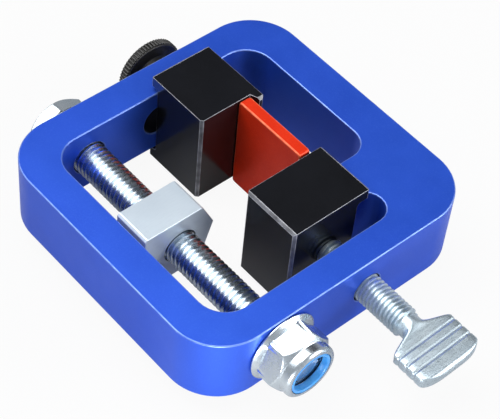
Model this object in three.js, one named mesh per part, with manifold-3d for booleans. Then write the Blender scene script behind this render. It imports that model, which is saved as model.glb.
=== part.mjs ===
import * as THREE from "three";
import { mergeVertices } from "three/addons/utils/BufferGeometryUtils.js";
import Module from "manifold-3d";

const wasm = await Module();
wasm.setup();

// Millimetres. X runs across the frame, Y from the thumb screw towards the bolt head, Z up.
// The origin is on the frame's underside, at the middle of its front wall.

// Clearances
const seat = 0.1;
const fit = 0.3;

// Frame
const frameWidth = 90;
const frameDepth = 87;
const frameHeight = 21;
const frameCorner = 14.5;
const frontWall = 8.8;
const backWall = 9.8;
const leftWall = 10.05;
const rightWall = 11.55;
const openingCorner = 8;
const shoulderCorner = 6;
const tongueWidth = 16.6;
const tongueDepth = 20.3;
const pocketWidth = 10;
const pocketReach = 6.2;
const slotHeight = 9.7;
const slotLength = 24.2;

// Jaws
const lipGap = 1.35;
const lipThickness = 3.3;
const lipReach = 2.7;
const jawEdge = 0.7;
const jawFillet = 1;

const frontJawWidth = 21.8;
const frontJawDepth = 18.4;
const frontJawLip = 4.1;
const frontJawSide = 0.9;
const frontJawSetback = 6.4;

const backJawWidth = 19.4;
const backJawDepth = 18.15;
const backJawFromRight = 13.7;
const tabWidth = 1.7;
const tabLength = 2.75;

// Support plate and its screws
const plateThickness = 3.7;
const plateFromJawRight = 3.1;
const plateGap = 0.8;
const plateDrop = 1.05;
const plateEdge = 1;
const plateScrewRadius = 1.1;
const plateScrewHead = 2.1;
const plateScrewHeadHeight = 2;
const plateScrewSpread = 9.5;
const plateScrewGrip = 7;

// Lead bolt, its nut and the pusher
const leadFromLeft = 23;
const leadRadius = 4.85;
const leadHeadFlats = 16;
const leadHeadHeight = 4.6;
const leadHeadTurn = 7;
const leadRecess = 2.4;
const washerThickness = 1.1;
const washerRadius = 9.4;
const nutFlats = 16.8;
const nutTurn = 9;
const nutLength = 11.1;
const nutFlange = 1.6;
const nutFlangeRadius = 10.3;
const nutHexLength = 6.2;
const nutCollarRadius = 7.9;
const insertRadius = 6.3;
const insertThickness = 2.2;

const pusherLength = 11.5;
const pusherSideGap = 1.35;
const pusherTopGap = 0.3;
const pusherRight = 6.9;
const pusherNose = 4;
const pusherNoseHeight = 12.7;
const pusherPastMiddle = 2;

// Thumb screw and the pin that keeps its tip in the front jaw
const thumbFromJawLeft = 12.8;
const thumbRadius = 4.1;
const thumbThread = 14.7;
const thumbNeck = 3.3;
const spadeWidth = 19.6;
const spadeShoulder = 2.3;
const spadeSide = 8.6;
const spadeCrown = 3.6;
const spadeThickness = 4;
const spadeTurn = 3;
const spadeGrooves = 3;
const spadeGroovePitch = 2;
const spadeGrooveDepth = 0.5;
const tipRadius = 3;
const tipLength = 8.7;
const tipGroove = 2.6;
const tipWaist = 2.1;
const pinRadius = 1;
const pinInset = 1;

// Clamp knob
const knobFromJawLeft = 10.6;
const knobRadius = 9.8;
const knobThickness = 2.9;
const knobHubRadius = 5.6;
const knobHubLength = 3.7;
const knobTeeth = 60;
const knobToothDepth = 0.3;
const knobWasherRadius = 7.8;
const studRadius = 4;
const studDepth = 13;

// Places derived from the sizes above
const left = -frameWidth / 2;
const right = frameWidth / 2;
const front = -frontWall / 2;
const back = front + frameDepth;
const axisZ = frameHeight / 2;
const openLeft = left + leftWall;
const openRight = right - rightWall;
const openFront = front + frontWall;
const openBack = back - backWall;
const guideX = openRight - tongueWidth;
const shoulderY = openFront + tongueDepth;
const jawTop = frameHeight + lipGap + lipThickness;
const jawBottom = -lipGap - lipThickness;

const leadX = left + leadFromLeft;
const boltHeadY = back + seat + washerThickness + seat;
const nutEndY = front - seat - nutLength;

const frontJawRight = guideX - frontJawSide;
const frontJawLeft = frontJawRight - frontJawWidth;
const frontJawFront = openFront + frontJawSetback;
const frontJawBack = frontJawFront + frontJawDepth;
const thumbX = frontJawLeft + thumbFromJawLeft;

const backJawRight = openRight - backJawFromRight;
const backJawLeft = backJawRight - backJawWidth;
const backJawBack = openBack - fit;
const backJawFront = backJawBack - backJawDepth;
const knobX = backJawLeft + knobFromJawLeft;

const plateRight = backJawRight - plateFromJawRight;
const plateLeft = plateRight - plateThickness;
const plateFront = frontJawBack + plateGap;
const plateBack = backJawFront - seat;
const plateX = (plateLeft + plateRight) / 2;

// Outline through [x, y, radius] corners, with an arc of the given steps at each one
function rounded(corners) {
  const points = [];
  corners.forEach(([x, y, radius = 0, steps = Math.max(3, Math.round(radius))], i) => {
    const corner = new THREE.Vector2(x, y);
    if (radius === 0) {
      points.push(corner);
      return;
    }
    const [ax, ay] = corners.at(i - 1);
    const [bx, by] = corners[(i + 1) % corners.length];
    const before = new THREE.Vector2(ax, ay).sub(corner).normalize();
    const after = new THREE.Vector2(bx, by).sub(corner).normalize();
    const half = Math.acos(THREE.MathUtils.clamp(before.dot(after), -1, 1)) / 2;
    const middle = before.clone().add(after).normalize();
    const centre = corner.clone().addScaledVector(middle, radius / Math.sin(half));
    const start = corner.clone().addScaledVector(before, radius / Math.tan(half)).sub(centre);
    const end = corner.clone().addScaledVector(after, radius / Math.tan(half)).sub(centre);
    const sweep = Math.atan2(start.cross(end), start.dot(end));
    for (let k = 0; k <= steps; k += 1) {
      const spoke = start.clone().rotateAround(new THREE.Vector2(), (sweep * k) / steps);
      points.push(centre.clone().add(spoke));
    }
  });
  return points;
}

function solid(geometry) {
  geometry.deleteAttribute("normal");
  geometry.deleteAttribute("uv");
  const merged = mergeVertices(geometry, 1e-4);
  const index = merged.index.array;
  const kept = [];
  for (let i = 0; i < index.length; i += 3) {
    const [a, b, c] = index.slice(i, i + 3);
    if (a !== b && b !== c && c !== a) {
      kept.push(a, b, c);
    }
  }
  return new wasm.Manifold(new wasm.Mesh({
    numProp: 3,
    vertProperties: new Float32Array(merged.attributes.position.array),
    triVerts: new Uint32Array(kept),
  }));
}

// Outline extruded between two heights. Outlines are (x, y) along Z, (x, z) along Y, (y, z) along X.
function prism(outline, axis, from, to) {
  const geometry = new THREE.ExtrudeGeometry(new THREE.Shape(outline), {
    depth: to - from,
    bevelEnabled: false,
  });
  if (axis === "y") {
    geometry.rotateX(Math.PI / 2);
    geometry.translate(0, to, 0);
  } else if (axis === "x") {
    geometry.rotateX(Math.PI / 2);
    geometry.rotateZ(Math.PI / 2);
    geometry.translate(from, 0, 0);
  } else {
    geometry.translate(0, 0, from);
  }
  return solid(geometry);
}

// Turned body about a line along Y, from [radius, y] pairs that start and end on the line
function turned(profile, x, z, segments = 48) {
  const points = profile.map(([radius, y]) => new THREE.Vector2(radius, y));
  const geometry = new THREE.LatheGeometry(points, segments);
  geometry.translate(x, 0, z);
  return solid(geometry);
}

function rod(radius, x, z, from, to, segments = 48) {
  return turned([[0, from], [radius, from], [radius, to], [0, to]], x, z, segments);
}

function hexagon(flats, x, z, turn) {
  const corners = [];
  for (let k = 0; k < 6; k += 1) {
    const angle = THREE.MathUtils.degToRad(turn + 60 * k);
    const radius = flats / Math.sqrt(3);
    corners.push([x + radius * Math.cos(angle), z + radius * Math.sin(angle)]);
  }
  return rounded(corners);
}

const meshes = [];

function add(name, body, color, roughness, metalness) {
  const mesh = body.getMesh();
  const geometry = new THREE.BufferGeometry();
  geometry.setAttribute("position", new THREE.BufferAttribute(mesh.vertProperties, 3));
  geometry.setIndex(new THREE.BufferAttribute(mesh.triVerts, 1));
  const flat = geometry.toNonIndexed();
  flat.computeVertexNormals();
  const material = new THREE.MeshStandardMaterial({ color, roughness, metalness });
  const node = new THREE.Mesh(flat, material);
  node.name = name;
  meshes.push(node);
}

// Frame: a ring with a stepped opening, drilled front and back, slotted at the back
function makeFrame() {
  const outer = rounded([
    [left, front, frameCorner],
    [right, front, frameCorner],
    [right, back, frameCorner],
    [left, back, frameCorner],
  ]);
  const pocketEnd = guideX + pocketReach;
  const pocketRound = pocketWidth / 2 - 0.01;
  const opening = rounded([
    [openLeft, openFront, openingCorner],
    [pocketEnd, openFront, pocketRound],
    [pocketEnd, openFront + pocketWidth, pocketRound],
    [guideX, openFront + pocketWidth],
    [guideX, shoulderY],
    [openRight, shoulderY, shoulderCorner],
    [openRight, openBack, openingCorner],
    [openLeft, openBack, openingCorner],
  ]);
  const slotRound = slotHeight / 2 - 0.01;
  const slotLeft = knobX - slotLength * 0.6;
  const slot = rounded([
    [slotLeft, axisZ - slotHeight / 2, slotRound, 8],
    [slotLeft + slotLength, axisZ - slotHeight / 2, slotRound, 8],
    [slotLeft + slotLength, axisZ + slotHeight / 2, slotRound, 8],
    [slotLeft, axisZ + slotHeight / 2, slotRound, 8],
  ]);
  return prism(outer, "z", 0, frameHeight)
    .subtract(prism(opening, "z", -1, frameHeight + 1))
    .subtract(rod(leadRadius + fit, leadX, axisZ, front - 1, back + 1))
    .subtract(rod(thumbRadius + fit, thumbX, axisZ, front - 1, openFront + 1))
    .subtract(prism(slot, "y", openBack - 1, back + 1));
}

function makeFrontJaw() {
  const lipEnd = frontJawRight + frontJawLip;
  const section = rounded([
    [frontJawLeft, jawBottom, jawEdge, 1],
    [lipEnd, jawBottom, jawEdge, 1],
    [lipEnd, jawBottom + lipThickness],
    [frontJawRight, jawBottom + lipThickness, jawFillet],
    [frontJawRight, jawTop - lipThickness, jawFillet],
    [lipEnd, jawTop - lipThickness],
    [lipEnd, jawTop, jawEdge, 1],
    [frontJawLeft, jawTop, jawEdge, 1],
  ]);
  const plan = rounded([
    [frontJawLeft, frontJawFront, jawEdge, 1],
    [lipEnd, frontJawFront, jawEdge, 1],
    [lipEnd, frontJawBack, jawEdge, 1],
    [frontJawLeft, frontJawBack, jawEdge, 1],
  ]);
  return prism(section, "y", frontJawFront, frontJawBack)
    .intersect(prism(plan, "z", jawBottom, jawTop))
    .subtract(rod(tipRadius + fit, thumbX, axisZ, frontJawFront - 1, frontJawFront + tipLength + fit))
    .subtract(pin(pinRadius + seat, jawBottom - 1, axisZ + tipRadius + 2 + seat));
}

function makeBackJaw() {
  const lipEnd = backJawBack + fit + lipReach;
  const section = rounded([
    [backJawFront - tabLength, jawBottom, jawEdge, 1],
    [lipEnd, jawBottom, jawEdge, 1],
    [lipEnd, jawBottom + lipThickness],
    [backJawBack, jawBottom + lipThickness, jawFillet],
    [backJawBack, jawTop - lipThickness, jawFillet],
    [lipEnd, jawTop - lipThickness],
    [lipEnd, jawTop, jawEdge, 1],
    [backJawFront - tabLength, jawTop, jawEdge, 1],
  ]);
  const plan = rounded([
    [backJawLeft, backJawFront, jawEdge, 1],
    [plateRight + fit, backJawFront],
    [backJawRight - tabWidth, backJawFront - tabLength],
    [backJawRight, backJawFront - tabLength, jawEdge, 1],
    [backJawRight, lipEnd, jawEdge, 1],
    [backJawLeft, lipEnd, jawEdge, 1],
  ]);
  let body = prism(section, "x", backJawLeft, backJawRight)
    .intersect(prism(plan, "z", jawBottom, jawTop))
    .subtract(rod(studRadius + fit, knobX, axisZ, backJawBack - studDepth - fit, backJawBack + 1));
  const headSeat = backJawBack - plateScrewHeadHeight - fit;
  for (const side of [-1, 1]) {
    const z = axisZ + side * plateScrewSpread;
    body = body
      .subtract(rod(plateScrewRadius + seat, plateX, z, backJawFront - 1, backJawBack + 1, 24))
      .subtract(rod(plateScrewHead + seat, plateX, z, headSeat, backJawBack + 1, 24));
  }
  return body;
}

function makePlate() {
  const top = jawTop - seat;
  const bottom = jawBottom - plateDrop;
  const outline = rounded([
    [plateFront, bottom, plateEdge],
    [plateBack, bottom, plateEdge],
    [plateBack, top, plateEdge],
    [plateFront, top, plateEdge],
  ]);
  let body = prism(outline, "x", plateLeft, plateRight);
  for (const side of [-1, 1]) {
    const z = axisZ + side * plateScrewSpread;
    const end = plateBack - plateScrewGrip - fit;
    body = body.subtract(rod(plateScrewRadius + seat, plateX, z, end, plateBack + 1, 24));
  }
  return body;
}

function makePlateScrew(z) {
  const headFront = backJawBack - plateScrewHeadHeight - seat;
  const headBack = backJawBack - seat;
  const socket = hexagon(2, plateX, z, 0);
  return turned([
    [0, plateBack - plateScrewGrip],
    [plateScrewRadius, plateBack - plateScrewGrip],
    [plateScrewRadius, headFront],
    [plateScrewHead, headFront],
    [plateScrewHead, headBack],
    [0, headBack],
  ], plateX, z, 24).subtract(prism(socket, "y", headBack - 1.2, headBack + 1));
}

function makeLeadBolt() {
  const endY = nutEndY + leadRecess;
  const head = prism(hexagon(leadHeadFlats, leadX, axisZ, 90 + leadHeadTurn), "y",
    boltHeadY, boltHeadY + leadHeadHeight);
  const corner = leadHeadFlats / Math.sqrt(3);
  const crown = turned([
    [0, boltHeadY - 1],
    [corner, boltHeadY - 1],
    [corner, boltHeadY + leadHeadHeight - 0.7],
    [leadHeadFlats / 2 - 0.3, boltHeadY + leadHeadHeight],
    [0, boltHeadY + leadHeadHeight],
  ], leadX, axisZ);
  const shank = turned([
    [0, endY],
    [leadRadius - 0.7, endY],
    [leadRadius, endY + 0.7],
    [leadRadius, boltHeadY + 0.5],
    [0, boltHeadY + 0.5],
  ], leadX, axisZ);
  return head.intersect(crown).add(shank);
}

function makeNut() {
  const base = front - seat;
  const hexEnd = base - nutFlange - nutHexLength;
  const corner = nutFlats / Math.sqrt(3);
  const hex = prism(hexagon(nutFlats, leadX, axisZ, nutTurn), "y", hexEnd, base - 0.3)
    .intersect(turned([
      [0, hexEnd],
      [nutFlats / 2 - 0.2, hexEnd],
      [corner, hexEnd + 0.8],
      [corner, base],
      [0, base],
    ], leadX, axisZ));
  const flange = turned([
    [0, base - nutFlange - 0.5],
    [nutFlats / 2, base - nutFlange - 0.5],
    [nutFlangeRadius, base - nutFlange / 2],
    [nutFlangeRadius, base],
    [0, base],
  ], leadX, axisZ);
  const collar = turned([
    [0, nutEndY],
    [nutCollarRadius - 1.3, nutEndY],
    [nutCollarRadius - 0.5, nutEndY + 0.4],
    [nutCollarRadius, nutEndY + 1.3],
    [nutCollarRadius, hexEnd + 1],
    [0, hexEnd + 1],
  ], leadX, axisZ);
  return hex.add(flange).add(collar)
    .subtract(rod(leadRadius + fit, leadX, axisZ, nutEndY - 1, base + 1))
    .subtract(rod(insertRadius + seat, leadX, axisZ, nutEndY - 1, nutEndY + seat + insertThickness + seat));
}

function ring(outerRadius, innerRadius, x, from, to) {
  return rod(outerRadius, x, axisZ, from, to).subtract(rod(innerRadius, x, axisZ, from - 1, to + 1));
}

function makePusher() {
  const start = (openFront + openBack) / 2 + pusherPastMiddle - pusherLength / 2;
  const sideX = openLeft + pusherSideGap;
  const faceX = leadX + pusherRight;
  const section = rounded([
    [sideX, pusherTopGap, jawEdge, 1],
    [faceX, pusherTopGap, jawEdge, 1],
    [faceX + pusherNose, pusherNoseHeight, 0.5],
    [faceX, frameHeight - pusherTopGap, jawEdge, 1],
    [sideX, frameHeight - pusherTopGap, jawEdge, 1],
  ]);
  return prism(section, "y", start, start + pusherLength)
    .subtract(rod(leadRadius + fit, leadX, axisZ, start - 1, start + pusherLength + 1));
}

// Spade grip: its plan meets a section grooved on both faces
function makeSpade() {
  const rootY = front - thumbThread - thumbNeck;
  const shoulderEnd = rootY - spadeShoulder;
  const crownY = shoulderEnd - spadeSide;
  const endY = crownY - spadeCrown;
  const half = spadeWidth / 2;
  const thick = spadeThickness / 2;
  const outline = rounded([
    [-thumbRadius * 0.7, rootY],
    [-half, shoulderEnd, 1],
    [-half, crownY, 1],
    [-half * 0.62, endY + spadeCrown * 0.25, 8],
    [half * 0.62, endY + spadeCrown * 0.25, 8],
    [half, crownY, 1],
    [half, shoulderEnd, 1],
    [thumbRadius * 0.7, rootY],
  ]);
  const upper = [[rootY + 1, thick]];
  for (let k = 0; k < spadeGrooves; k += 1) {
    const y = shoulderEnd - 1.9 - k * spadeGroovePitch;
    upper.push([y + 0.6, thick], [y + 0.3, thick - spadeGrooveDepth]);
    upper.push([y - 0.3, thick - spadeGrooveDepth], [y - 0.6, thick]);
  }
  upper.push([endY - 1, thick]);
  const lower = upper.map(([y, z]) => [y, -z]).reverse();
  return prism(outline, "z", -thick, thick)
    .intersect(prism(rounded([...upper, ...lower]), "x", -half - 1, half + 1));
}

function makeThumbScrew() {
  const neckY = front - thumbThread;
  const rootY = neckY - thumbNeck;
  const shoulder = frontJawFront - seat;
  const tipEnd = frontJawFront + tipLength;
  const grooveY = frontJawFront + tipLength / 2;
  const shank = turned([
    [0, rootY - 3],
    [spadeThickness / 2 - 0.1, rootY - 3],
    [thumbRadius * 0.8, rootY + 0.4],
    [thumbRadius * 0.8, neckY - 0.6],
    [thumbRadius, neckY],
    [thumbRadius, shoulder - 0.5],
    [thumbRadius - 0.5, shoulder],
    [tipRadius, shoulder],
    [tipRadius, grooveY - tipGroove / 2],
    [tipWaist, grooveY - tipGroove / 2],
    [tipWaist, grooveY + tipGroove / 2],
    [tipRadius, grooveY + tipGroove / 2],
    [tipRadius, tipEnd - 0.5],
    [tipRadius - 0.5, tipEnd],
    [0, tipEnd],
  ], 0, 0);
  return makeSpade().add(shank).rotate([0, -spadeTurn, 0]).translate([thumbX, 0, axisZ]);
}

function pin(radius, from, to) {
  const x = thumbX + tipWaist + fit + pinRadius;
  const y = frontJawFront + tipLength / 2;
  const circle = [];
  for (let k = 0; k < 24; k += 1) {
    const angle = (2 * Math.PI * k) / 24;
    circle.push(new THREE.Vector2(x + radius * Math.cos(angle), y + radius * Math.sin(angle)));
  }
  return prism(circle, "z", from, to);
}

function makeKnob() {
  const hubY = back + seat + washerThickness + seat;
  const discY = hubY + knobHubLength;
  const rim = [];
  for (let k = 0; k < knobTeeth; k += 1) {
    for (const [step, depth] of [[-0.25, knobToothDepth], [0.25, 0]]) {
      const angle = (2 * Math.PI * (k + step)) / knobTeeth;
      const radius = knobRadius - depth;
      rim.push(new THREE.Vector2(knobX + radius * Math.cos(angle), axisZ + radius * Math.sin(angle)));
    }
  }
  return prism(rim, "y", discY, discY + knobThickness)
    .add(rod(knobHubRadius, knobX, axisZ, hubY, discY + 0.5))
    .subtract(rod(studRadius + seat, knobX, axisZ, hubY - 1, discY + knobThickness - 1));
}

function makeStud() {
  const start = backJawBack - studDepth;
  const end = back + 3 * seat + washerThickness + knobHubLength + knobThickness - 1 - fit;
  return turned([
    [0, start],
    [studRadius - 0.6, start],
    [studRadius, start + 0.6],
    [studRadius, end],
    [0, end],
  ], knobX, axisZ);
}

const blue = 0x2f62c8;
const black = 0x17181c;
const zinc = 0xb4bac4;

add("frame", makeFrame(), blue, 0.38, 0.6);
add("front_jaw", makeFrontJaw(), black, 0.3, 0.3);
add("back_jaw", makeBackJaw(), black, 0.3, 0.3);
add("support_plate", makePlate(), 0xd23a24, 0.4, 0.3);
add("plate_screw_upper", makePlateScrew(axisZ + plateScrewSpread), zinc, 0.35, 0.9);
add("plate_screw_lower", makePlateScrew(axisZ - plateScrewSpread), zinc, 0.35, 0.9);
add("lead_bolt", makeLeadBolt(), zinc, 0.3, 0.9);
add("head_washer", ring(washerRadius, leadRadius + fit, leadX, back + seat,
  back + seat + washerThickness), zinc, 0.35, 0.9);
add("flange_lock_nut", makeNut(), zinc, 0.3, 0.9);
add("nylon_insert", ring(insertRadius, leadRadius + seat, leadX, nutEndY + seat,
  nutEndY + seat + insertThickness), 0x2f7fd0, 0.5, 0);
add("pusher", makePusher(), zinc, 0.4, 0.8);
add("thumb_screw", makeThumbScrew(), zinc, 0.45, 0.8);
add("jaw_pin", pin(pinRadius, jawBottom + pinInset, axisZ + tipRadius + 2), zinc, 0.35, 0.9);
add("clamp_knob", makeKnob(), black, 0.55, 0);
add("knob_stud", makeStud(), zinc, 0.3, 0.9);
add("knob_washer", ring(knobWasherRadius, studRadius + fit, knobX, back + seat,
  back + seat + washerThickness), zinc, 0.35, 0.9);

const fixture = new THREE.Group();
fixture.name = "pusher_fixture";
fixture.add(...meshes);

export default fixture;
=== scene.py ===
import bpy
import bmesh
import math
from mathutils import Matrix, Vector


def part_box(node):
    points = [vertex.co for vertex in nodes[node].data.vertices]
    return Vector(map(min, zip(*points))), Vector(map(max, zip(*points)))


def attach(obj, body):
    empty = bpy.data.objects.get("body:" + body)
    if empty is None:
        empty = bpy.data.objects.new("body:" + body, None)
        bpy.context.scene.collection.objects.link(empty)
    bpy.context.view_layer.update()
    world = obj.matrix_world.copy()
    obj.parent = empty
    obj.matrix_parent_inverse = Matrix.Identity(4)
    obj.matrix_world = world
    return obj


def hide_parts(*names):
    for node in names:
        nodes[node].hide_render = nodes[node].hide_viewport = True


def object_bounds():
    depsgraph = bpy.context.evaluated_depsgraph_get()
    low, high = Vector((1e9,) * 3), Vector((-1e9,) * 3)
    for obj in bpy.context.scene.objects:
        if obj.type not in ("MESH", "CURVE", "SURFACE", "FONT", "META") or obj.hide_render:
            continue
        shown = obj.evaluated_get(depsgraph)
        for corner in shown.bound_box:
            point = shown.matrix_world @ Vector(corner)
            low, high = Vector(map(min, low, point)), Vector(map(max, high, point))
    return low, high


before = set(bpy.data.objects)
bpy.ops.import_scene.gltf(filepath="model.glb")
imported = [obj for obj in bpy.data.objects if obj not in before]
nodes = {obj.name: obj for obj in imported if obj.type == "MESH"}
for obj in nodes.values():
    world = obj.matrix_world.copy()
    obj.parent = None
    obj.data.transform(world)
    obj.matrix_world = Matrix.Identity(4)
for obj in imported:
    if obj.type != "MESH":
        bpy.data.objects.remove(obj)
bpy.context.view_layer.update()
mm = 0.001


def shade(red, green, blue):
    # screen values, 0 to 255, to the linear colour a shader takes
    def linear(value):
        value /= 255
        return value / 12.92 if value <= 0.04045 else ((value + 0.055) / 1.055) ** 2.4
    return (linear(red), linear(green), linear(blue), 1)


def middle(name):
    low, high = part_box(name)
    return (Vector(low) + Vector(high)) / 2


def startGroup(name, inputs, outputs):
    group = bpy.data.node_groups.new(name, "ShaderNodeTree")
    for label, kind, value in inputs:
        socket = group.interface.new_socket(name=label, in_out="INPUT", socket_type=kind)
        socket.default_value = value
    for label, kind in outputs:
        group.interface.new_socket(name=label, in_out="OUTPUT", socket_type=kind)
    entry = group.nodes.new("NodeGroupInput")
    leave = group.nodes.new("NodeGroupOutput")
    return group, entry, leave


def makeGrainGroup():
    # fine grain: a mask and a normal from the same noise, in object space
    group, entry, leave = startGroup(
        "fineGrain",
        [("Scale", "NodeSocketFloat", 900.0), ("Detail", "NodeSocketFloat", 4.0),
         ("Stretch", "NodeSocketVector", (1, 1, 1)),
         ("Strength", "NodeSocketFloat", 0.1), ("Height", "NodeSocketFloat", 0.0001)],
        [("Mask", "NodeSocketFloat"), ("Normal", "NodeSocketVector")])
    link = group.links.new
    place = group.nodes.new("ShaderNodeTexCoord")
    mapping = group.nodes.new("ShaderNodeMapping")
    noise = group.nodes.new("ShaderNodeTexNoise")
    bump = group.nodes.new("ShaderNodeBump")
    link(place.outputs["Object"], mapping.inputs["Vector"])
    link(entry.outputs["Stretch"], mapping.inputs["Scale"])
    link(mapping.outputs["Vector"], noise.inputs["Vector"])
    link(entry.outputs["Scale"], noise.inputs["Scale"])
    link(entry.outputs["Detail"], noise.inputs["Detail"])
    link(noise.outputs["Fac"], bump.inputs["Height"])
    link(entry.outputs["Strength"], bump.inputs["Strength"])
    link(entry.outputs["Height"], bump.inputs["Distance"])
    link(noise.outputs["Fac"], leave.inputs["Mask"])
    link(bump.outputs["Normal"], leave.inputs["Normal"])
    return group


def makeWearAndHighlightGroup():
    # eased edges, marked on the mesh and broken up by noise, made paler partly as rubbed wear and
    # partly as a painted highlight
    group, entry, leave = startGroup(
        "edgeWearAndHighlight",
        [("Breakup", "NodeSocketFloat", 400.0), ("Amount", "NodeSocketFloat", 0.5)],
        [("Mask", "NodeSocketFloat")])
    link = group.links.new
    eased = group.nodes.new("ShaderNodeAttribute")
    eased.attribute_name = "edge"
    place = group.nodes.new("ShaderNodeTexCoord")
    noise = group.nodes.new("ShaderNodeTexNoise")
    broken = group.nodes.new("ShaderNodeMath")
    amount = group.nodes.new("ShaderNodeMath")
    broken.operation = "MULTIPLY"
    amount.operation = "MULTIPLY"
    link(place.outputs["Object"], noise.inputs["Vector"])
    link(entry.outputs["Breakup"], noise.inputs["Scale"])
    link(eased.outputs["Fac"], broken.inputs[0])
    link(noise.outputs["Fac"], broken.inputs[1])
    link(broken.outputs["Value"], amount.inputs[0])
    link(entry.outputs["Amount"], amount.inputs[1])
    link(amount.outputs["Value"], leave.inputs["Mask"])
    return group


def makeSmudgeGroup():
    # broad soft marks that vary colour and gloss
    group, entry, leave = startGroup(
        "handMarks",
        [("Scale", "NodeSocketFloat", 60.0), ("Low", "NodeSocketFloat", 0.0),
         ("High", "NodeSocketFloat", 1.0)],
        [("Value", "NodeSocketFloat")])
    link = group.links.new
    place = group.nodes.new("ShaderNodeTexCoord")
    noise = group.nodes.new("ShaderNodeTexNoise")
    noise.inputs["Detail"].default_value = 5
    noise.inputs["Roughness"].default_value = 0.6
    ramp = group.nodes.new("ShaderNodeMapRange")
    ramp.inputs["From Min"].default_value = 0.35
    ramp.inputs["From Max"].default_value = 0.65
    link(place.outputs["Object"], noise.inputs["Vector"])
    link(entry.outputs["Scale"], noise.inputs["Scale"])
    link(noise.outputs["Fac"], ramp.inputs["Value"])
    link(entry.outputs["Low"], ramp.inputs["To Min"])
    link(entry.outputs["High"], ramp.inputs["To Max"])
    link(ramp.outputs["Result"], leave.inputs["Value"])
    return group


grainGroup = makeGrainGroup()
wearAndHighlightGroup = makeWearAndHighlightGroup()
smudgeGroup = makeSmudgeGroup()


def makeFinish(name, look):
    # one metal, paint or plastic finish built from the three shared groups
    material = bpy.data.materials.new(name)
    material.use_nodes = True
    tree = material.node_tree
    link = tree.links.new
    shader = tree.nodes["Principled BSDF"]
    shader.inputs["Metallic"].default_value = look["metallic"]
    shader.inputs["Specular IOR Level"].default_value = look["specular"]

    grain = tree.nodes.new("ShaderNodeGroup")
    grain.node_tree = grainGroup
    for label, value in look["grain"].items():
        grain.inputs[label].default_value = value
    marks = tree.nodes.new("ShaderNodeGroup")
    marks.node_tree = smudgeGroup
    marks.inputs["Scale"].default_value = look["marksScale"]
    rough = tree.nodes.new("ShaderNodeGroup")
    rough.node_tree = smudgeGroup
    rough.inputs["Scale"].default_value = look["marksScale"] * 2.3
    rough.inputs["Low"].default_value = look["roughness"][0]
    rough.inputs["High"].default_value = look["roughness"][1]
    wearAndHighlight = tree.nodes.new("ShaderNodeGroup")
    wearAndHighlight.node_tree = wearAndHighlightGroup
    wearAndHighlight.inputs["Amount"].default_value = look["wearAndHighlight"]

    base = tree.nodes.new("ShaderNodeMix")
    base.data_type = "RGBA"
    base.inputs["A"].default_value = look["colour"]
    base.inputs["B"].default_value = look["second"]
    speckle = tree.nodes.new("ShaderNodeMix")
    speckle.data_type = "RGBA"
    speckle.inputs["B"].default_value = look["speck"]
    speckleRange = tree.nodes.new("ShaderNodeMapRange")
    speckleRange.inputs["From Min"].default_value = 0.5
    speckleRange.inputs["From Max"].default_value = 0.8
    speckleRange.inputs["To Max"].default_value = look["speckAmount"]
    # pale edges: partly rubbed wear, partly a painted highlight on chamfers and rounded edges
    wornAndHighlit = tree.nodes.new("ShaderNodeMix")
    wornAndHighlit.data_type = "RGBA"
    wornAndHighlit.inputs["B"].default_value = look["bareAndHighlight"]

    link(marks.outputs["Value"], base.inputs["Factor"])
    link(base.outputs["Result"], speckle.inputs["A"])
    link(grain.outputs["Mask"], speckleRange.inputs["Value"])
    link(speckleRange.outputs["Result"], speckle.inputs["Factor"])
    link(speckle.outputs["Result"], wornAndHighlit.inputs["A"])
    link(wearAndHighlight.outputs["Mask"], wornAndHighlit.inputs["Factor"])
    # painted shade: faces marked as bore walls take a near-black colour in place of the shade
    # inside the frame's holes and slot
    shaded = tree.nodes.new("ShaderNodeMix")
    shaded.data_type = "RGBA"
    shaded.inputs["B"].default_value = look.get("paintedBoreShade", look["colour"])
    boreShadeMask = tree.nodes.new("ShaderNodeAttribute")
    boreShadeMask.attribute_name = "bore"
    link(boreShadeMask.outputs["Fac"], shaded.inputs["Factor"])
    link(wornAndHighlit.outputs["Result"], shaded.inputs["A"])
    link(shaded.outputs["Result"], shader.inputs["Base Color"])
    link(rough.outputs["Value"], shader.inputs["Roughness"])
    link(grain.outputs["Normal"], shader.inputs["Normal"])
    return material


# in each finish the pale edge colour and its amount give partly rubbed wear, partly a painted
# highlight on edges
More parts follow.
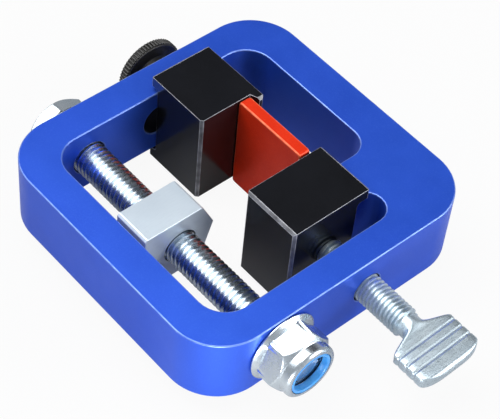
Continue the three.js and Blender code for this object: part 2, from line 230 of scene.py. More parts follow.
finishes = {
    "anodised_blue": {
        "colour": shade(44, 91, 216), "second": shade(39, 84, 208), "speck": shade(74, 122, 228),
        # painted shade: near-black for the bore walls, standing in for the shade inside them
        "bareAndHighlight": shade(150, 178, 232), "paintedBoreShade": shade(8, 10, 26),
        "metallic": 0.62, "specular": 0.5,
        "roughness": (0.36, 0.42), "marksScale": 30.0, "speckAmount": 0.25, "wearAndHighlight": 0.9,
        "grain": {"Scale": 2600.0, "Detail": 3.0, "Strength": 0.12, "Height": 0.00005},
    },
    "jaw_black": {
        "colour": shade(16, 17, 20), "second": shade(20, 21, 25), "speck": shade(34, 35, 40),
        "bareAndHighlight": shade(172, 174, 182), "metallic": 0.0, "specular": 0.4,
        "roughness": (0.17, 0.2), "marksScale": 40.0, "speckAmount": 0.25, "wearAndHighlight": 1.2,
        "grain": {"Scale": 2600.0, "Detail": 3.0, "Stretch": (1, 1, 4), "Strength": 0.05,
                  "Height": 0.00002},
    },
    "plate_red": {
        "colour": shade(218, 48, 14), "second": shade(208, 41, 10), "speck": shade(240, 80, 40),
        "bareAndHighlight": shade(246, 140, 100), "metallic": 0.3, "specular": 0.25,
        "roughness": (0.34, 0.42), "marksScale": 50.0, "speckAmount": 0.3, "wearAndHighlight": 0.9,
        "grain": {"Scale": 1800.0, "Detail": 3.0, "Strength": 0.15, "Height": 0.00006},
    },
    "zinc": {
        "colour": shade(200, 209, 216), "second": shade(184, 196, 206),
        "speck": shade(216, 224, 230),
        "bareAndHighlight": shade(240, 242, 246), "metallic": 1.0, "specular": 0.5,
        "roughness": (0.22, 0.3), "marksScale": 120.0, "speckAmount": 0.35, "wearAndHighlight": 0.3,
        "grain": {"Scale": 1500.0, "Detail": 3.0, "Strength": 0.04, "Height": 0.00003},
    },
    "zinc_block": {
        "colour": shade(214, 226, 236), "second": shade(204, 217, 229),
        "speck": shade(180, 194, 208),
        "bareAndHighlight": shade(240, 244, 248), "metallic": 0.52, "specular": 0.5,
        "roughness": (0.3, 0.34), "marksScale": 30.0, "speckAmount": 0.2, "wearAndHighlight": 0.4,
        "grain": {"Scale": 1600.0, "Detail": 3.0, "Stretch": (0.25, 2, 1), "Strength": 0.1,
                  "Height": 0.00004},
    },
    "zinc_cast": {
        "colour": shade(196, 209, 216), "second": shade(180, 195, 204),
        "speck": shade(104, 120, 132),
        "bareAndHighlight": shade(236, 242, 246), "metallic": 0.85, "specular": 0.5,
        "roughness": (0.3, 0.38), "marksScale": 140.0, "speckAmount": 0.9, "wearAndHighlight": 0.5,
        "grain": {"Scale": 3600.0, "Detail": 2.0, "Strength": 0.5, "Height": 0.00007},
    },
    "nylon_blue": {
        "colour": shade(70, 150, 215), "second": shade(48, 120, 190), "speck": shade(120, 190, 235),
        "bareAndHighlight": shade(160, 210, 240), "metallic": 0.0, "specular": 0.5,
        "roughness": (0.25, 0.35), "marksScale": 150.0, "speckAmount": 0.2, "wearAndHighlight": 0.2,
        "grain": {"Scale": 1200.0, "Detail": 2.0, "Strength": 0.1, "Height": 0.00005},
    },
    "knob_black": {
        "colour": shade(22, 21, 20), "second": shade(30, 28, 26), "speck": shade(52, 49, 45),
        "bareAndHighlight": shade(150, 144, 134), "metallic": 0.0, "specular": 0.5,
        "roughness": (0.36, 0.5), "marksScale": 120.0, "speckAmount": 0.4, "wearAndHighlight": 0.8,
        "grain": {"Scale": 1600.0, "Detail": 4.0, "Strength": 0.25, "Height": 0.0001},
    },
}
materials = {name: makeFinish(name, look) for name, look in finishes.items()}
print("finishes made:", len(materials))


def plainMesh(piece):
    # modifiers and node trees become a plain mesh, and the modifiers go
    graph = bpy.context.evaluated_depsgraph_get()
    mesh = bpy.data.meshes.new_from_object(piece.evaluated_get(graph))
    piece.modifiers.clear()
    old = piece.data
    piece.data = mesh
    mesh.name = piece.name
    if old.users == 0:
        bpy.data.meshes.remove(old)
    return mesh


def newPiece(name, mesh):
    piece = bpy.data.objects.new(name, mesh)
    bpy.context.scene.collection.objects.link(piece)
    return piece


def setIn(piece, body, slotName, *replaced):
    # finish, body and the solid that the piece stands for
    piece.data.materials.clear()
    piece.data.materials.append(materials[slotName])
    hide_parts(*replaced)
    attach(piece, body)


def smoothByAngle(mesh, angle=35):
    for face in mesh.polygons:
        face.use_smooth = True
    mesh.set_sharp_from_angle(angle=math.radians(angle))


frameLow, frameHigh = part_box("frame")


boreZone = {"frontWall": 8.6 * mm, "backWall": 9.6 * mm, "halfWidth": 40 * mm,
            "bottom": 3 * mm, "top": 18 * mm, "tilt": 0.05}


def inBore(node, centre, normal):
    # walls of the holes and slot that run along Y through the frame's front and back walls; these
    # get painted shade
    inWall = (centre.y < frameLow[1] + boreZone["frontWall"]
              or centre.y > frameHigh[1] - boreZone["backWall"])
    inside = (abs(centre.x) < boreZone["halfWidth"]
              and boreZone["bottom"] < centre.z < boreZone["top"])
    alongY = abs(normal.y) < boreZone["tilt"]
    return 1 if node == "frame" and inWall and inside and alongY else 0


mergeGap = 0.002 * mm  # closer corners than this become one
flatAngle = math.radians(0.5)  # faces that differ by less are one flat


def softenedCopy(node, width, chamferWearAndHighlight, segments=3, angle=30):
    # a solid's own shape, merged, with its sharp edges rounded and its flats kept flat
    work = bmesh.new()
    work.from_mesh(nodes[node].data)
    bmesh.ops.remove_doubles(work, verts=work.verts, dist=mergeGap)
    bmesh.ops.dissolve_limit(work, angle_limit=flatAngle, verts=work.verts,
                             edges=work.edges)
    # chamfers and rounded edges are marked for the pale edge colour: partly rubbed wear, partly a
    # painted highlight
    mark = work.faces.layers.float.new("edge")
    for face in work.faces:
        square = max(abs(value) for value in face.normal)
        face[mark] = chamferWearAndHighlight if 0.6 < square < 0.8 else 0
    sharp = [edge for edge in work.edges
             if len(edge.link_faces) == 2 and edge.calc_face_angle() > math.radians(angle)]
    rounded = bmesh.ops.bevel(work, geom=sharp, offset=width, offset_type="OFFSET",
                              segments=segments, profile=0.5, affect="EDGES",
                              clamp_overlap=False)
    for face in rounded["faces"]:
        face[mark] = 1
    # painted shade: marks the bore walls, which get a near-black colour in place of their shade
    bore = work.faces.layers.float.new("bore")
    for face in work.faces:
        centre = face.calc_center_median()
        face[bore] = inBore(node, centre, face.normal)
    mesh = bpy.data.meshes.new(node + "_eased")
    work.to_mesh(mesh)
    work.free()
    for face in mesh.polygons:
        face.use_smooth = True
    piece = newPiece(node + "_eased", mesh)
    flatten = piece.modifiers.new("normals", "WEIGHTED_NORMAL")
    flatten.mode = "FACE_AREA"
    flatten.weight = 100
    plainMesh(piece)
    return piece


def hexRadius(flats, angle):
    # distance from the centre to a hexagon's edge, with a corner at angle 0
    within = (angle % (math.pi / 3)) - math.pi / 6
    return flats / 2 / math.cos(within)


def turnedMesh(name, profile, x, z, segments=96, closed=False, flats=None, turn=0.0):
    # rings of (radius, y, isHex) about a line along Y; hex rings never pass the hexagon's edge
    work = bmesh.new()
    rings = []
    for radius, y, isHex in profile:
        if radius == 0:
            rings.append([work.verts.new((x, y, z))])
            continue
        ring = []
        for k in range(segments):
            angle = 2 * math.pi * k / segments
            reach = min(radius, hexRadius(flats, angle)) if isHex else radius
            around = angle + math.radians(turn)
            ring.append(work.verts.new((x + reach * math.cos(around), y,
                                        z + reach * math.sin(around))))
        rings.append(ring)
    pairs = list(zip(rings, rings[1:]))
    if closed:
        pairs.append((rings[-1], rings[0]))
    for first, second in pairs:
        for k in range(segments):
            n = (k + 1) % segments
            if len(first) == 1:
                work.faces.new((first[0], second[k], second[n]))
            elif len(second) == 1:
                work.faces.new((first[k], second[0], first[n]))
            else:
                work.faces.new((first[k], second[k], second[n], first[n]))
    bmesh.ops.recalc_face_normals(work, faces=work.faces)
    mesh = bpy.data.meshes.new(name)
    work.to_mesh(mesh)
    work.free()
    smoothByAngle(mesh)
    return mesh


def arcRings(radius, y, size, start, end, steps=4):
    # rounded corner in a profile: centre at (radius, y), angles in degrees
    rings = []
    for k in range(steps + 1):
        angle = math.radians(start + (end - start) * k / steps)
        rings.append((radius + size * math.cos(angle), y + size * math.sin(angle), False))
    return rings


def joined(name, meshes):
    work = bmesh.new()
    for mesh in meshes:
        work.from_mesh(mesh)
    mesh = bpy.data.meshes.new(name)
    work.to_mesh(mesh)
    work.free()
    smoothByAngle(mesh)
    return mesh


def startTree(name, inputs):
    tree = bpy.data.node_groups.new(name, "GeometryNodeTree")
    for label, kind, value in inputs:
        socket = tree.interface.new_socket(name=label, in_out="INPUT", socket_type=kind)
        if value is not None:
            socket.default_value = value
    tree.interface.new_socket(name="Geometry", in_out="OUTPUT", socket_type="NodeSocketGeometry")
    entry = tree.nodes.new("NodeGroupInput")
    leave = tree.nodes.new("NodeGroupOutput")
    realize = tree.nodes.new("GeometryNodeRealizeInstances")
    paint = tree.nodes.new("GeometryNodeSetMaterial")
    tree.links.new(realize.outputs["Geometry"], paint.inputs["Geometry"])
    tree.links.new(entry.outputs["Material"], paint.inputs["Material"])
    tree.links.new(paint.outputs["Geometry"], leave.inputs["Geometry"])
    return tree, entry, realize


def mathNode(tree, operation, *values):
    node = tree.nodes.new("ShaderNodeMath")
    node.operation = operation
    for k, value in enumerate(values):
        if isinstance(value, (int, float)):
            node.inputs[k].default_value = value
        else:
            tree.links.new(value, node.inputs[k])
    return node.outputs["Value"]


ridgeTurn = -90  # points the ridge's profile away from the axis


def makeThreadTree():
    # a core with one ridge wound round it along Z, fading in and out over its lead-in
    tree, entry, realize = startTree("screwThread", [
        ("Crest Radius", "NodeSocketFloat", 0.004), ("Depth", "NodeSocketFloat", 0.0008),
        ("Pitch", "NodeSocketFloat", 0.00125), ("Length", "NodeSocketFloat", 0.02),
        ("Crest Share", "NodeSocketFloat", 0.2), ("Root Share", "NodeSocketFloat", 0.16),
        ("Lead In", "NodeSocketFloat", 0.5), ("Steps", "NodeSocketInt", 48),
        ("Material", "NodeSocketMaterial", None)])
    link = tree.links.new
    take = entry.outputs
    root = mathNode(tree, "SUBTRACT", take["Crest Radius"], take["Depth"])
    turns = mathNode(tree, "DIVIDE", take["Length"], take["Pitch"])
    sunk = mathNode(tree, "MULTIPLY", take["Depth"], 0.08)
    spiral = tree.nodes.new("GeometryNodeCurveSpiral")
    spiral.inputs["Reverse"].default_value = True  # right-hand
    link(take["Steps"], spiral.inputs["Resolution"])
    link(turns, spiral.inputs["Rotations"])
    link(root, spiral.inputs["Start Radius"])
    link(root, spiral.inputs["End Radius"])
    link(take["Length"], spiral.inputs["Height"])
    upright = tree.nodes.new("GeometryNodeSetCurveNormal")
    upright.mode = "Z_UP"
    link(spiral.outputs["Curve"], upright.inputs["Curve"])

    ridge = tree.nodes.new("GeometryNodeCurvePrimitiveQuadrilateral")
    ridge.mode = "TRAPEZOID"
    ridge.inputs["Offset"].default_value = 0
    foot = mathNode(tree, "SUBTRACT", 1.0, take["Root Share"])
    link(mathNode(tree, "MULTIPLY", foot, take["Pitch"]), ridge.inputs["Bottom Width"])
    link(mathNode(tree, "MULTIPLY", take["Crest Share"], take["Pitch"]), ridge.inputs["Top Width"])
    link(mathNode(tree, "ADD", take["Depth"], sunk), ridge.inputs["Height"])
    lift = tree.nodes.new("ShaderNodeCombineXYZ")
    halfDepth = mathNode(tree, "MULTIPLY", take["Depth"], 0.46)
    link(halfDepth, lift.inputs["Y"])
    raised = tree.nodes.new("GeometryNodeTransform")
    link(ridge.outputs["Curve"], raised.inputs["Geometry"])
    link(lift.outputs["Vector"], raised.inputs["Translation"])
    outward = tree.nodes.new("GeometryNodeTransform")
    outward.inputs["Rotation"].default_value = (0, 0, math.radians(ridgeTurn))
    link(raised.outputs["Geometry"], outward.inputs["Geometry"])

    along = tree.nodes.new("GeometryNodeSplineParameter")
    rest = mathNode(tree, "SUBTRACT", 1.0, along.outputs["Factor"])
    nearest = mathNode(tree, "MINIMUM", along.outputs["Factor"], rest)
    inTurns = mathNode(tree, "MULTIPLY", nearest, turns)
    fade = mathNode(tree, "MINIMUM", mathNode(tree, "DIVIDE", inTurns, take["Lead In"]), 1.0)
    grown = mathNode(tree, "MAXIMUM", fade, 0.02)

    sweep = tree.nodes.new("GeometryNodeCurveToMesh")
    sweep.inputs["Fill Caps"].default_value = True
    link(upright.outputs["Curve"], sweep.inputs["Curve"])
    link(outward.outputs["Geometry"], sweep.inputs["Profile Curve"])
    link(grown, sweep.inputs["Scale"])

    core = tree.nodes.new("GeometryNodeMeshCylinder")
    link(take["Steps"], core.inputs["Vertices"])
    link(root, core.inputs["Radius"])
    link(take["Length"], core.inputs["Depth"])
    raiseCore = tree.nodes.new("GeometryNodeTransform")
    middlePoint = tree.nodes.new("ShaderNodeCombineXYZ")
    link(mathNode(tree, "MULTIPLY", take["Length"], 0.5), middlePoint.inputs["Z"])
    link(core.outputs["Mesh"], raiseCore.inputs["Geometry"])
    link(middlePoint.outputs["Vector"], raiseCore.inputs["Translation"])

    together = tree.nodes.new("GeometryNodeJoinGeometry")
    link(sweep.outputs["Mesh"], together.inputs["Geometry"])
    link(raiseCore.outputs["Geometry"], together.inputs["Geometry"])
    link(together.outputs["Geometry"], realize.inputs["Geometry"])
    return tree


def makeRibTree():
    # straight ribs stood round a circle, for the knob's grip
    tree, entry, realize = startTree("gripRibs", [
        ("Count", "NodeSocketInt", 60), ("Circle Radius", "NodeSocketFloat", 0.0095),
        ("Rib Radius", "NodeSocketFloat", 0.0003), ("Length", "NodeSocketFloat", 0.003),
        ("Material", "NodeSocketMaterial", None)])
    link = tree.links.new
    take = entry.outputs
    circle = tree.nodes.new("GeometryNodeMeshCircle")
    link(take["Count"], circle.inputs["Vertices"])
    link(take["Circle Radius"], circle.inputs["Radius"])
    rib = tree.nodes.new("GeometryNodeMeshCone")
    rib.inputs["Vertices"].default_value = 8
    rib.inputs["Side Segments"].default_value = 1
    link(take["Rib Radius"], rib.inputs["Radius Top"])
    link(take["Rib Radius"], rib.inputs["Radius Bottom"])
    link(take["Length"], rib.inputs["Depth"])
    stand = tree.nodes.new("GeometryNodeInstanceOnPoints")
    link(circle.outputs["Mesh"], stand.inputs["Points"])
    link(rib.outputs["Mesh"], stand.inputs["Instance"])
    link(stand.outputs["Instances"], realize.inputs["Geometry"])
    return tree


def grown(name, tree, values, material):
    # runs a tree on an empty piece and keeps the plain mesh
    piece = newPiece(name, bpy.data.meshes.new(name))
    modifier = piece.modifiers.new("grow", "NODES")
    modifier.node_group = tree
    for item in tree.interface.items_tree:
        if item.in_out != "INPUT":
            continue
        if item.name == "Material":
            modifier[item.identifier] = material
        elif item.name in values:
            modifier[item.identifier] = values[item.name]
    mesh = plainMesh(piece)
    bpy.data.objects.remove(piece)
    return mesh


threadTree = makeThreadTree()
ribTree = makeRibTree()


def threadMesh(name, x, z, start, end, sizes):
    # thread along Y from start to end
    mesh = grown(name, threadTree, {
        "Crest Radius": sizes["radius"], "Depth": sizes["depth"], "Pitch": sizes["pitch"],
        "Length": end - start, "Lead In": sizes["leadIn"], "Steps": sizes["steps"],
        "Crest Share": sizes["crestShare"], "Root Share": sizes["rootShare"],
    }, materials["zinc"])
    # Z becomes Y, keeping the hand of the thread
    turn = Matrix(((0, 1, 0, 0), (0, 0, 1, 0), (1, 0, 0, 0), (0, 0, 0, 1)))
    mesh.transform(Matrix.Translation((x, start, z)) @ turn)
    return mesh


# per piece, the chamfer amount sets how strongly chamfers take the pale edge colour: partly wear,
# partly a painted highlight
easing = {
    "frame": {"width": 0.35 * mm, "wornAndHighlit": 0, "body": "base", "slot": "anodised_blue"},
    "front_jaw": {"width": 0.12 * mm, "wornAndHighlit": 0.5, "body": "front_jaw", "slot": "jaw_black"},
    "back_jaw": {"width": 0.12 * mm, "wornAndHighlit": 0.5, "body": "back_jaw", "slot": "jaw_black"},
    "support_plate": {"width": 0.45 * mm, "wornAndHighlit": 0.3, "body": "back_jaw", "slot": "plate_red"},
    "pusher": {"width": 0.15 * mm, "wornAndHighlit": 0.3, "body": "pusher", "slot": "zinc_block"},
}
for node, choice in easing.items():
    piece = softenedCopy(node, choice["width"], choice["wornAndHighlit"])
    setIn(piece, choice["body"], choice["slot"], node)
print("frame, jaws, plate and pusher eased")


leadThread = {"radius": 4.85 * mm, "depth": 0.8 * mm, "pitch": 1.5 * mm, "leadIn": 0.6,
              "steps": 48, "crestShare": 0.26, "rootShare": 0.1}
leadHead = {"flats": 16 * mm, "turn": 97, "chamfer": 1.1 * mm, "chamferCurve": 1.15,
            "ease": 0.25 * mm, "dish": 0.25 * mm, "rim": 0.8 * mm, "slope": 1.5 * mm}
hexAround = 240  # points round a hexagon
hexSteps = 12  # rings down its chamfer
leadAxis = middle("head_washer")
leadLow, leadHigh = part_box("lead_bolt")
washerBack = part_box("head_washer")[1][1]

headStart = washerBack + 0.1 * mm
headEnd = leadHigh[1]
cornerRadius = leadHead["flats"] / math.sqrt(3)
crownRadius = leadHead["flats"] / 2 - leadHead["ease"]
headProfile = [(0, headStart, False), (crownRadius, headStart, False)]
headProfile += [(cornerRadius, headStart + leadHead["ease"], True)]
for k in range(hexSteps + 1):
    share = k / hexSteps
    radius = cornerRadius + (crownRadius - cornerRadius) * share
    drop = leadHead["chamfer"] * (1 - share) ** leadHead["chamferCurve"]
    headProfile.append((radius, headEnd - drop, True))
headProfile += [(crownRadius - leadHead["rim"], headEnd - 0.02 * mm, False),
                (crownRadius - leadHead["slope"], headEnd - leadHead["dish"], False),
                (0, headEnd - leadHead["dish"], False)]
headMesh = turnedMesh("leadHead", headProfile, leadAxis.x, leadAxis.z, hexAround,
                      flats=leadHead["flats"], turn=leadHead["turn"])
shaftMesh = threadMesh("leadThread", leadAxis.x, leadAxis.z, leadLow[1], headStart, leadThread)
leadBolt = newPiece("lead_bolt_threaded", joined("lead_bolt_threaded", [headMesh, shaftMesh]))
setIn(leadBolt, "lead", "zinc", "lead_bolt")


def washerMesh(node, inner, outer, ease):
    low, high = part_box(node)
    centre = middle(node)
    front, back = low[1], high[1]
    profile = arcRings(outer - ease, front + ease, ease, -90, 0)
    profile += arcRings(outer - ease, back - ease, ease, 0, 90)
    profile += arcRings(inner + ease, back - ease, ease, 90, 180)
    profile += arcRings(inner + ease, front + ease, ease, 180, 270)
    return turnedMesh(node + "_ring", profile, centre.x, centre.z, 96, closed=True)


washers = {
    "head_washer": {"body": "lead", "inner": 5.15 * mm, "ease": 0.25 * mm, "slot": "zinc"},
    "nylon_insert": {"body": "lead", "inner": 5.35 * mm, "ease": 0.4 * mm, "slot": "nylon_blue"},
    "knob_washer": {"body": "knob_washer", "inner": 4.3 * mm, "ease": 0.25 * mm, "slot": "zinc"},
}
for node, size in washers.items():
    low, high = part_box(node)
    outer = (high[0] - low[0]) / 2
    ring = newPiece(node + "_ring", washerMesh(node, size["inner"], outer, size["ease"]))
    setIn(ring, size["body"], size["slot"], node)

nutSize = {"flats": 16.8 * mm, "turn": 9, "flange": 1.5 * mm, "collar": 7.9 * mm,
           "hexLength": 7.8 * mm, "bore": 5.15 * mm, "recess": 6.4 * mm, "recessDepth": 2.5 * mm,
           "chamfer": 1.5 * mm, "chamferCurve": 1.3, "flangeEase": 0.35 * mm,
           "collarEase": 1.3 * mm, "hexEase": 0.25 * mm}
nutLow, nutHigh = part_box("flange_lock_nut")
flangeRadius = (nutHigh[0] - nutLow[0]) / 2
nutBase = nutHigh[1]
nutEnd = nutLow[1]
nutCorner = nutSize["flats"] / math.sqrt(3)
hexEnd = nutBase - nutSize["hexLength"]
nutProfile = [(nutSize["bore"] + 0.4 * mm, nutBase, False),
              (flangeRadius - 0.3 * mm, nutBase, False)]
nutProfile += arcRings(flangeRadius - nutSize["flangeEase"], nutBase - nutSize["flangeEase"],
                       nutSize["flangeEase"], 90, -60)
nutProfile += [(nutSize["flats"] / 2 + 0.75 * mm, nutBase - nutSize["flange"], False)]
nutProfile += [(nutCorner, nutBase - nutSize["flange"] - nutSize["hexEase"], True)]
for k in range(hexSteps + 1):
    share = k / hexSteps
    radius = nutCorner + (nutSize["collar"] + nutSize["hexEase"] - nutCorner) * share
    drop = nutSize["chamfer"] * (1 - share) ** nutSize["chamferCurve"]
    nutProfile.append((radius, hexEnd + drop, True))
nutProfile += [(nutSize["collar"], hexEnd - nutSize["hexEase"], False)]
nutProfile += arcRings(nutSize["collar"] - nutSize["collarEase"], nutEnd + nutSize["collarEase"],
                       nutSize["collarEase"], 0, -80, 7)
nutProfile += [(nutSize["recess"], nutEnd + 0.15 * mm, False),
               (nutSize["recess"], nutEnd + nutSize["recessDepth"], False),
               (nutSize["bore"], nutEnd + nutSize["recessDepth"] + 0.3 * mm, False),
               (nutSize["bore"], nutBase - 0.4 * mm, False)]
nutMesh = turnedMesh("flange_lock_nut_turned", nutProfile, leadAxis.x, leadAxis.z, hexAround,
                     closed=True, flats=nutSize["flats"], turn=nutSize["turn"])
nut = newPiece("flange_lock_nut_turned", nutMesh)
setIn(nut, "lead", "zinc", "flange_lock_nut")
print("lead bolt, washers and nut made")


thumbThread = {"radius": 4.1 * mm, "depth": 0.68 * mm, "pitch": 1.25 * mm, "leadIn": 0.5,
               "steps": 48, "crestShare": 0.26, "rootShare": 0.1}
spade = {"tilt": 3, "width": 19.6 * mm, "thickness": 4 * mm, "shoulder": 2.3 * mm,
         "side": 8.6 * mm, "neck": 3.3 * mm, "thread": 14.7 * mm,
         "grooves": 3, "firstGroove": 1.2 * mm, "groovePitch": 2.7 * mm,
         "grooveDepth": 0.28 * mm, "grooveHalf": 0.55 * mm,
         "rim": 1.5 * mm, "rimStart": 0.6 * mm, "neckStep": 0.75 * mm, "overlap": 0.3 * mm,
         "flatFrom": 1.2 * mm, "squareness": 0.78, "narrowest": 0.05 * mm,
         "neckRings": 6, "neckSpacing": 0.45 * mm, "spacing": 0.1 * mm, "crownRings": 25,
         "around": 96}
thumbLow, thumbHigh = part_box("thumb_screw")
thumbAxis = Vector((6.95 * mm, 0, leadAxis.z))
threadStart = frameLow[1] - spade["thread"]
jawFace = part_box("front_jaw")[0][1]


def smoothStep(low, high, value):
    share = min(max((value - low) / (high - low), 0), 1)
    return share * share * (3 - 2 * share)


def spadeMesh():
    # cross-sections from the thread's end to the crown: round at the neck, flat in the grip
    rootY = threadStart - spade["neck"]
    shoulderY = rootY - spade["shoulder"]
    crownY = shoulderY - spade["side"]
    endY = thumbLow[1]
    crown = crownY - endY
    half = spade["width"] / 2
    thick = spade["thickness"] / 2
    neckRadius = thumbThread["radius"] - spade["neckStep"]
    stations = [threadStart + spade["overlap"] - k * spade["neckSpacing"]
                for k in range(spade["neckRings"])]
    y = stations[-1]
    while y > crownY:
        y -= spade["spacing"]
        stations.append(y)
    for k in range(1, spade["crownRings"]):
        stations.append(crownY - crown * math.sin(math.pi / 2 * k / spade["crownRings"]))
    work = bmesh.new()
    rings = []
    count = spade["around"]
    for y in stations:
        along = threadStart - y
        flat = smoothStep(spade["flatFrom"], spade["neck"] + spade["shoulder"] * 0.75, along)
        wide = smoothStep(spade["neck"] * 0.55, spade["neck"] + spade["shoulder"] * 0.95, along)
        width = neckRadius + (half - neckRadius) * wide
        if y < crownY:
            width = half * math.sqrt(max(1 - ((crownY - y) / crown) ** 2, 0.0)) ** 0.9
            width = max(width, spade["narrowest"])
        height = neckRadius + (thick - neckRadius) * flat
        depth = 0
        for k in range(spade["grooves"]):
            grooveY = shoulderY - spade["firstGroove"] - k * spade["groovePitch"]
            away = abs(y - grooveY) / spade["grooveHalf"]
            if away < 1:
                depth = max(depth, spade["grooveDepth"] * (1 - away))
        if y < crownY + spade["rimStart"]:
            edge = min((y - endY) / spade["rim"], 1)
            height *= math.sqrt(max(1 - (1 - edge) ** 2, 0.01))
        power = 1 - spade["squareness"] * flat
        ring = []
        for k in range(count):
            angle = 2 * math.pi * k / count
            c, s = math.cos(angle), math.sin(angle)
            u = math.copysign(abs(c) ** power, c) * (width - depth * 0.45)
            w = math.copysign(abs(s) ** power, s) * (height - depth)
            ring.append(work.verts.new((u, y, w)))
        rings.append(ring)
    for first, second in zip(rings, rings[1:]):
        for k in range(count):
            n = (k + 1) % count
            work.faces.new((first[k], first[n], second[n], second[k]))
    work.faces.new(rings[0])
    work.faces.new(rings[-1])
    bmesh.ops.recalc_face_normals(work, faces=work.faces)
    tilt = Matrix.Translation(thumbAxis) @ Matrix.Rotation(math.radians(-spade["tilt"]), 4, "Y")
    bmesh.ops.transform(work, matrix=tilt, verts=work.verts)
    mesh = bpy.data.meshes.new("spadeGrip")
    work.to_mesh(mesh)
    work.free()
    return mesh


tip = {"radius": 3 * mm, "waist": 2.1 * mm, "shoulder": 3.3 * mm, "seat": 0.4 * mm,
       "grooveStart": 3.05 * mm, "grooveEnd": 5.6 * mm, "chamfer": 0.5 * mm}
tipEnd = thumbHigh[1]
tipProfile = [(0, jawFace - tip["seat"]), (tip["shoulder"], jawFace - tip["seat"]),
              (tip["radius"], jawFace), (tip["radius"], jawFace + tip["grooveStart"]),
              (tip["waist"], jawFace + tip["grooveStart"] + 0.05 * mm),
              (tip["waist"], jawFace + tip["grooveEnd"]),
              (tip["radius"], jawFace + tip["grooveEnd"] + 0.05 * mm),
              (tip["radius"], tipEnd - tip["chamfer"]),
              (tip["radius"] - tip["chamfer"], tipEnd), (0, tipEnd)]
tipMesh = turnedMesh("thumbTip", [(radius, y, False) for radius, y in tipProfile],
                     thumbAxis.x, thumbAxis.z, 48)
thumbMesh = joined("thumb_screw_spade", [
    threadMesh("thumbThread", thumbAxis.x, thumbAxis.z, threadStart, jawFace - 0.15 * mm,
               thumbThread),
    spadeMesh(), tipMesh])
thumbScrew = newPiece("thumb_screw_spade", thumbMesh)
setIn(thumbScrew, "thumb_screw", "zinc_cast", "thumb_screw")
print("thumb screw made")


knobSize = {"ribs": 60, "ribRadius": 0.42 * mm, "hub": 5.6 * mm, "ease": 0.35 * mm,
            "thickness": 2.9 * mm, "recess": 0.3 * mm, "rim": 1.4 * mm, "slope": 1.8 * mm,
            "ribInset": 0.35 * mm}
studThread = {"radius": 4 * mm, "depth": 0.68 * mm, "pitch": 1.25 * mm, "leadIn": 0.5,
              "steps": 40, "crestShare": 0.2, "rootShare": 0.16}
knobLow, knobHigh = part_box("clamp_knob")
knobAxis = middle("clamp_knob")
knobRadius = (knobHigh[0] - knobLow[0]) / 2 - knobSize["ribRadius"]
discStart = knobHigh[1] - knobSize["thickness"]
ease = knobSize["ease"]
knobProfile = [(0, knobLow[1], False)]
knobProfile += arcRings(knobSize["hub"] - ease, knobLow[1] + ease, ease, -90, 0)
knobProfile += arcRings(knobSize["hub"] + ease, discStart - ease, ease, 180, 90)
knobProfile += arcRings(knobRadius - ease, discStart + ease, ease, -90, 0)
knobProfile += arcRings(knobRadius - ease, knobHigh[1] - ease, ease, 0, 90)
knobProfile += [(knobRadius - knobSize["rim"], knobHigh[1], False),
                (knobRadius - knobSize["slope"], knobHigh[1] - knobSize["recess"], False),
                (0, knobHigh[1] - knobSize["recess"], False)]
discMesh = turnedMesh("knobDisc", knobProfile, knobAxis.x, knobAxis.z, 96)
ribMesh = grown("knobRibs", ribTree, {
    "Count": knobSize["ribs"], "Circle Radius": knobRadius, "Rib Radius": knobSize["ribRadius"],
    "Length": knobSize["thickness"] - 2 * knobSize["ribInset"]}, materials["knob_black"])
ribPlace = Matrix.Translation((knobAxis.x, discStart + knobSize["ribInset"], knobAxis.z))
ribMesh.transform(ribPlace @ Matrix.Rotation(math.radians(-90), 4, "X"))
knob = newPiece("clamp_knob_ribbed", joined("clamp_knob_ribbed", [discMesh, ribMesh]))
setIn(knob, "knob", "knob_black", "clamp_knob")

studLow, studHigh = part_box("knob_stud")
stud = newPiece("knob_stud_threaded", threadMesh(
    "knob_stud_threaded", knobAxis.x, knobAxis.z, studLow[1], studHigh[1], studThread))
smoothByAngle(stud.data)
setIn(stud, "knob", "zinc", "knob_stud")

hidden = {"plate_screw_upper": "zinc", "plate_screw_lower": "zinc", "jaw_pin": "zinc"}
for node, slotName in hidden.items():
    nodes[node].data.materials.clear()
    nodes[node].data.materials.append(materials[slotName])
print("knob and stud made, hidden screws and pin finished")


# the glow spot values set a painted reflection: a floor patch that glows only in reflections
stageSize = {"floor": 4.0, "drop": 0.2 * mm, "seenWhite": 0.93, "mirroredWhite": 0.05,
             "paintedGlowSpot": (-0.054, -0.014), "paintedGlowFrom": 0.008, "paintedGlowTo": 0.04, "paintedGlowWhite": 1.0,
             "colour": (0.45, 0.45, 0.46, 1), "roughness": 0.9, "specular": 0.1}


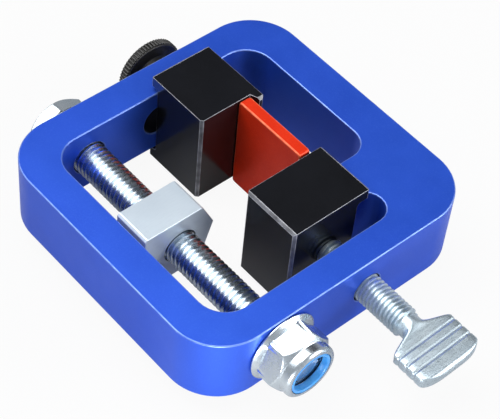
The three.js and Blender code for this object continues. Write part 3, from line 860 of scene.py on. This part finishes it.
def makeFloor():
    low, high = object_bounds()
    z = low[2] - stageSize["drop"]
    half = stageSize["floor"] / 2
    mesh = bpy.data.meshes.new("floor")
    corners = [(-half, -half, z), (half, -half, z), (half, half, z), (-half, half, z)]
    mesh.from_pydata(corners, [], [(0, 1, 2, 3)])
    floor = newPiece("floor", mesh)
    material = bpy.data.materials.new("paleFloor")
    material.use_nodes = True
    tree = material.node_tree
    link = tree.links.new
    matt = tree.nodes["Principled BSDF"]
    matt.inputs["Base Color"].default_value = stageSize["colour"]
    matt.inputs["Roughness"].default_value = stageSize["roughness"]
    matt.inputs["Specular IOR Level"].default_value = stageSize["specular"]
    glow = tree.nodes.new("ShaderNodeEmission")
    rays = tree.nodes.new("ShaderNodeLightPath")
    seen = tree.nodes.new("ShaderNodeMath")
    seen.operation = "MULTIPLY"
    seen.inputs[1].default_value = stageSize["seenWhite"]
    share = tree.nodes.new("ShaderNodeMath")
    share.operation = "MULTIPLY_ADD"
    # painted reflection: a patch of floor before the near corner glows, met only in reflections, to
    # brighten the frame's near corner
    place = tree.nodes.new("ShaderNodeTexCoord")
    away = tree.nodes.new("ShaderNodeVectorMath")
    away.operation = "DISTANCE"
    away.inputs[1].default_value = (*stageSize["paintedGlowSpot"], z)
    paintedGlowSpot = tree.nodes.new("ShaderNodeMapRange")
    paintedGlowSpot.inputs["From Min"].default_value = stageSize["paintedGlowTo"]
    paintedGlowSpot.inputs["From Max"].default_value = stageSize["paintedGlowFrom"]
    paintedGlowSpot.inputs["To Min"].default_value = stageSize["mirroredWhite"]
    paintedGlowSpot.inputs["To Max"].default_value = stageSize["paintedGlowWhite"]
    link(place.outputs["Object"], away.inputs[0])
    link(away.outputs["Value"], paintedGlowSpot.inputs["Value"])
    link(paintedGlowSpot.outputs["Result"], share.inputs[1])
    mix = tree.nodes.new("ShaderNodeMixShader")
    link(rays.outputs["Is Camera Ray"], seen.inputs[0])
    link(rays.outputs["Is Glossy Ray"], share.inputs[0])
    link(seen.outputs["Value"], share.inputs[2])
    link(share.outputs["Value"], mix.inputs["Fac"])
    link(matt.outputs["BSDF"], mix.inputs[1])
    link(glow.outputs["Emission"], mix.inputs[2])
    link(mix.outputs["Shader"], tree.nodes["Material Output"].inputs["Surface"])
    mesh.materials.append(material)


makeFloor()

# pale room, dark only behind the object and above it, where the top faces mirror it
roomLight = {"strength": 0.55, "pale": (0.9, 0.92, 0.95, 1), "dark": (0.08, 0.08, 0.09, 1),
             "darkWay": (0.46, 0.46, 0.76), "from": 0.8, "to": 0.94}
world = bpy.data.worlds.new("studio")
bpy.context.scene.world = world
world.use_nodes = True
roomTree = world.node_tree
sky = roomTree.nodes["Background"]
skyWay = roomTree.nodes.new("ShaderNodeTexCoord")
skyDot = roomTree.nodes.new("ShaderNodeVectorMath")
skyDot.operation = "DOT_PRODUCT"
skyDot.inputs[1].default_value = Vector(roomLight["darkWay"]).normalized()
skyRamp = roomTree.nodes.new("ShaderNodeValToRGB")
skyRamp.color_ramp.elements[0].position = roomLight["from"]
skyRamp.color_ramp.elements[0].color = roomLight["pale"]
skyRamp.color_ramp.elements[1].position = roomLight["to"]
skyRamp.color_ramp.elements[1].color = roomLight["dark"]
roomTree.links.new(skyWay.outputs["Generated"], skyDot.inputs[0])
roomTree.links.new(skyDot.outputs["Value"], skyRamp.inputs["Fac"])
roomTree.links.new(skyRamp.outputs["Color"], sky.inputs["Color"])
sky.inputs["Strength"].default_value = roomLight["strength"]

lamps = {
    "overhead": {"place": (-0.08, 0.22, 0.78), "size": 0.6, "power": 4.8},
    "backLeft": {"place": (-0.38, 0.42, 0.62), "size": 0.5, "power": 2.4},
    "rightSide": {"place": (0.4, -0.55, 0.3), "size": 0.45, "power": 4.6},
    "cornerLow": {"place": (-0.098, -0.062, -0.001), "size": 0.03, "power": 0.14},
}
aim = Vector((0, 0.035, 0.01))
for name, lamp in lamps.items():
    light = bpy.data.lights.new(name, "AREA")
    light.shape = "SQUARE"
    light.size = lamp["size"]
    light.energy = lamp["power"]
    holder = bpy.data.objects.new(name, light)
    holder.location = lamp["place"]
    holder.visible_camera = False
    holder.rotation_mode = "QUATERNION"
    holder.rotation_quaternion = (aim - Vector(lamp["place"])).to_track_quat("-Z", "Y")
    bpy.context.scene.collection.objects.link(holder)

cameraSize = {"place": (-207.0 * mm, -171.6 * mm, 351.5 * mm), "yaw": -45.32, "climb": 49.49,
              "roll": 6.11, "lens": 123.79}
camera = bpy.data.objects.new("camera", bpy.data.cameras.new("camera"))
camera.data.lens = cameraSize["lens"]
camera.data.sensor_width = 36
camera.data.clip_start = 0.01
camera.data.clip_end = 20
yaw, climb = math.radians(cameraSize["yaw"]), math.radians(cameraSize["climb"])
back = Vector((math.sin(yaw) * math.cos(climb), -math.cos(yaw) * math.cos(climb), math.sin(climb)))
side = (-back).cross(Vector((0, 0, 1))).normalized()
over = side.cross(-back)
roll = math.radians(cameraSize["roll"])
across = side * math.cos(roll) + over * math.sin(roll)
upward = over * math.cos(roll) - side * math.sin(roll)
camera.matrix_world = Matrix.Translation(cameraSize["place"]) @ Matrix(
    (across, upward, back)).transposed().to_4x4()
bpy.context.scene.collection.objects.link(camera)
bpy.context.scene.camera = camera
bpy.context.scene.view_settings.view_transform = "Standard"
print("stage, lights and camera set")
